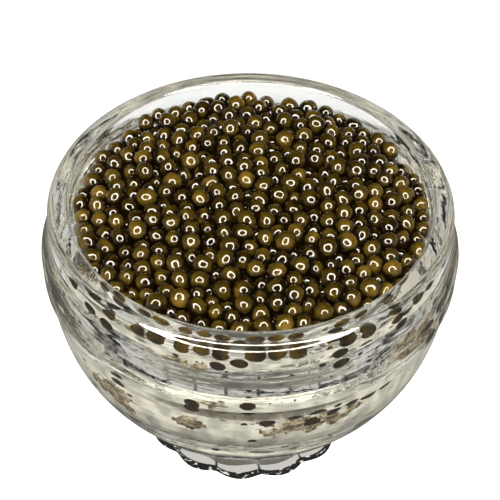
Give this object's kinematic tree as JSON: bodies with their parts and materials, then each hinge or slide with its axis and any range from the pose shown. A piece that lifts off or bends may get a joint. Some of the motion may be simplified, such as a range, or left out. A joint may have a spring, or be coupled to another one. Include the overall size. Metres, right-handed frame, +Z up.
{
  "type": "jar of osetra caviar",
  "caption": "Open pressed-glass jar with a rounded rim, banded shoulder, bowl-shaped body and lobed foot, heaped to the rim with olive-brown osetra caviar.",
  "frame": {"origin": "centre of the ring that the foot stands on, on the surface under the jar", "axes": "+Z up along the jar's axis; -Y towards the side that the picture shows; +X to the right of that view"},
  "size_m": [0.0694, 0.0694, 0.0513],
  "materials": {
    "clear_glass": "clear pressed glass, polished, slightly wavy",
    "roe": "wet, glossy, translucent olive brown with amber"
  },
  "bodies": {
    "root": {"jar": "clear_glass", "caviar": "roe"}
  },
  "joints": []
}
